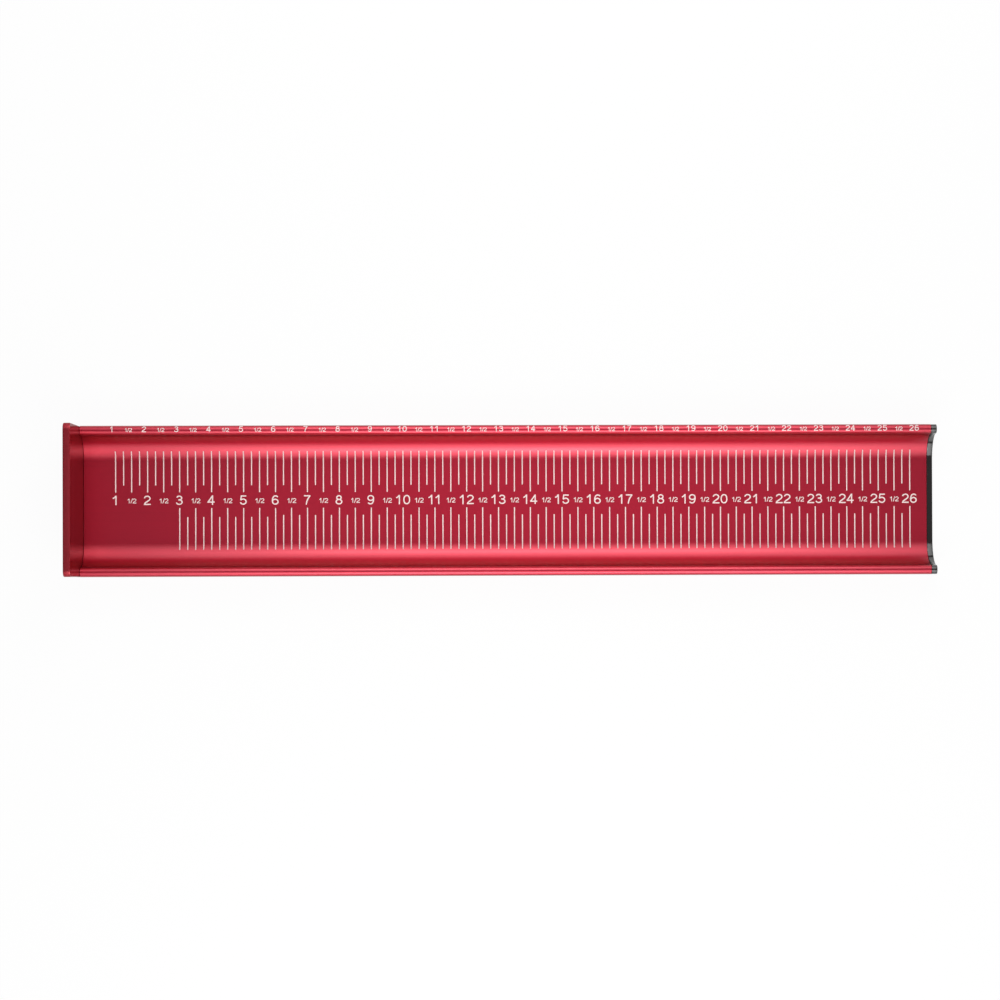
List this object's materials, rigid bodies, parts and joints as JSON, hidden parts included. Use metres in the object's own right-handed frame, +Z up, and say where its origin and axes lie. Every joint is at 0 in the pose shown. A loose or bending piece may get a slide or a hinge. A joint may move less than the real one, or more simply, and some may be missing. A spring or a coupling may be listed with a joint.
{
  "type": "fish measuring board",
  "caption": "Long trough with an inch scale along its floor, a tall fence for the nose of the fish at one end and a cap on the other.",
  "frame": {"origin": "middle of the board's footprint, on the surface that it rests on", "axes": "+X along the board, from the fence to the end cap; +Y towards the lip that carries numerals; +Z up"},
  "size_m": [0.6844, 0.1194, 0.0762],
  "materials": {
    "red_anodised_tray": "satin red anodised, extruded",
    "red_anodised_plate": "smooth red anodised plate",
    "black_cap": "satin black moulded",
    "stainless_screw": "stainless, turned"
  },
  "bodies": {
    "root": {"tray": "red_anodised_tray", "fence_plate": "red_anodised_plate", "end_cap": "black_cap", "fence_screw_1": "stainless_screw", "fence_screw_2": "stainless_screw", "fence_screw_3": "stainless_screw", "fence_screw_4": "stainless_screw", "cap_screw_1": "stainless_screw", "cap_screw_2": "stainless_screw"}
  },
  "joints": []
}
